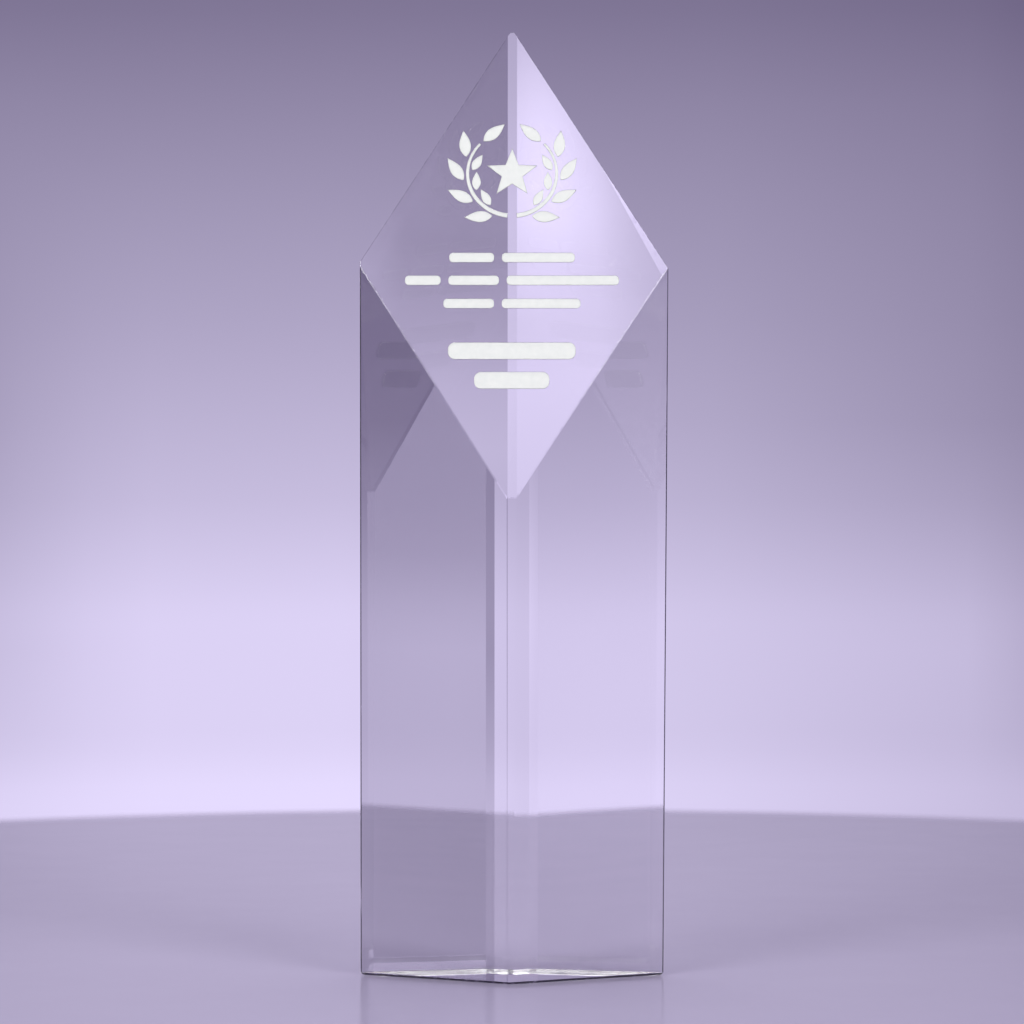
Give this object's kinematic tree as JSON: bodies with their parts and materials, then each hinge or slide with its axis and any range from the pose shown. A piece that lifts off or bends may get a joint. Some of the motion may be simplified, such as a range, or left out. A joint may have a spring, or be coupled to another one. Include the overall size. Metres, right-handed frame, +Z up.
{
  "type": "crystal award",
  "caption": "Tall clear crystal tower on a rhombus base, cut by one steep slanted face that carries a white in-filled engraving; a free-standing presentation award.",
  "frame": {"origin": "centre of the resting face, which is the bottom centre of the bounding box", "axes": "+Z up; X across the award, from side edge to side edge; the engraved slanted face looks towards -Y and up, and the tall back edge is at +Y"},
  "size_m": [0.0827, 0.0388, 0.254],
  "materials": {
    "crystal": "clear optical crystal, flat-ground and mirror-polished, with finely ground edges",
    "enamel": "white sand-carved engraving with a matt enamel in-fill"
  },
  "bodies": {
    "root": {"crystal_tower": "crystal", "emblem_star": "enamel", "laurel_leaf_left_1": "enamel", "laurel_leaf_left_2": "enamel", "laurel_leaf_left_3": "enamel", "laurel_leaf_left_4": "enamel", "laurel_leaf_left_5": "enamel", "laurel_leaf_left_6": "enamel", "laurel_leaf_left_7": "enamel", "laurel_leaf_left_8": "enamel", "laurel_leaf_right_1": "enamel", "laurel_leaf_right_2": "enamel", "laurel_leaf_right_3": "enamel", "laurel_leaf_right_4": "enamel", "laurel_leaf_right_5": "enamel", "laurel_leaf_right_6": "enamel", "laurel_leaf_right_7": "enamel", "laurel_leaf_right_8": "enamel", "laurel_stem_left": "enamel", "laurel_stem_right": "enamel", "message_line_1_word_1": "enamel", "message_line_1_word_2": "enamel", "message_line_2_word_1": "enamel", "message_line_2_word_2": "enamel", "message_line_2_word_3": "enamel", "message_line_3_word_1": "enamel", "message_line_3_word_2": "enamel", "name_line_1": "enamel", "name_line_2": "enamel"}
  },
  "joints": []
}
